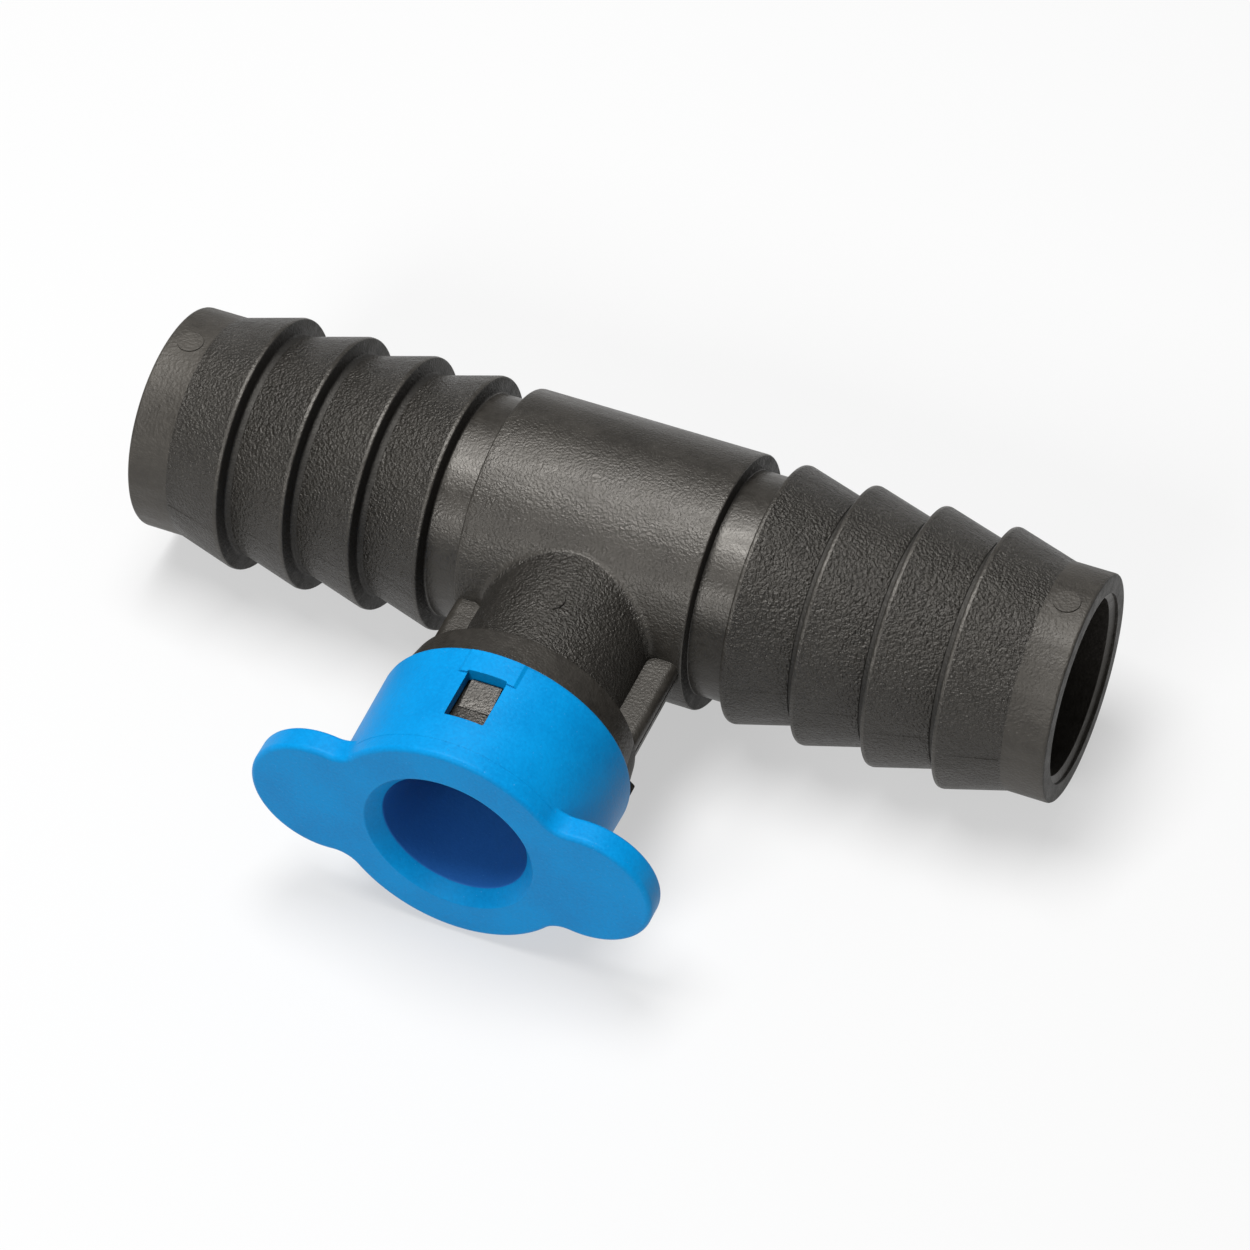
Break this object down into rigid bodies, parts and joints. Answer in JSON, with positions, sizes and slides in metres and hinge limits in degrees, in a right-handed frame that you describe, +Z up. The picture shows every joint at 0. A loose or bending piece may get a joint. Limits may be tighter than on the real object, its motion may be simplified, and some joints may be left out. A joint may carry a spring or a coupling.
{
  "type": "barbed insert tee fitting",
  "caption": "Barbed irrigation insert tee with a push-in side branch held by a winged snap collar.",
  "frame": {"origin": "where the axis of the run crosses the axis of the branch", "axes": "+X along the run, the branch points along -Y, +Z up with the wings about level"},
  "size_m": [0.1054, 0.0584, 0.0286],
  "materials": {
    "black_plastic": "fine moulded grain",
    "blue_plastic": "satin",
    "grip_plastic": "satin",
    "seal_rubber": "satin"
  },
  "bodies": {
    "fitting": {"tee_body": "black_plastic", "winged_collar": "blue_plastic", "stem_o_ring": "seal_rubber"},
    "grip": {"grip_ring": "grip_plastic"}
  },
  "joints": [
    {"name": "grip_slide", "type": "slide", "parent": "fitting", "child": "grip", "axis": [0, -1, 0], "range_m": [0, 0.0008]}
  ]
}
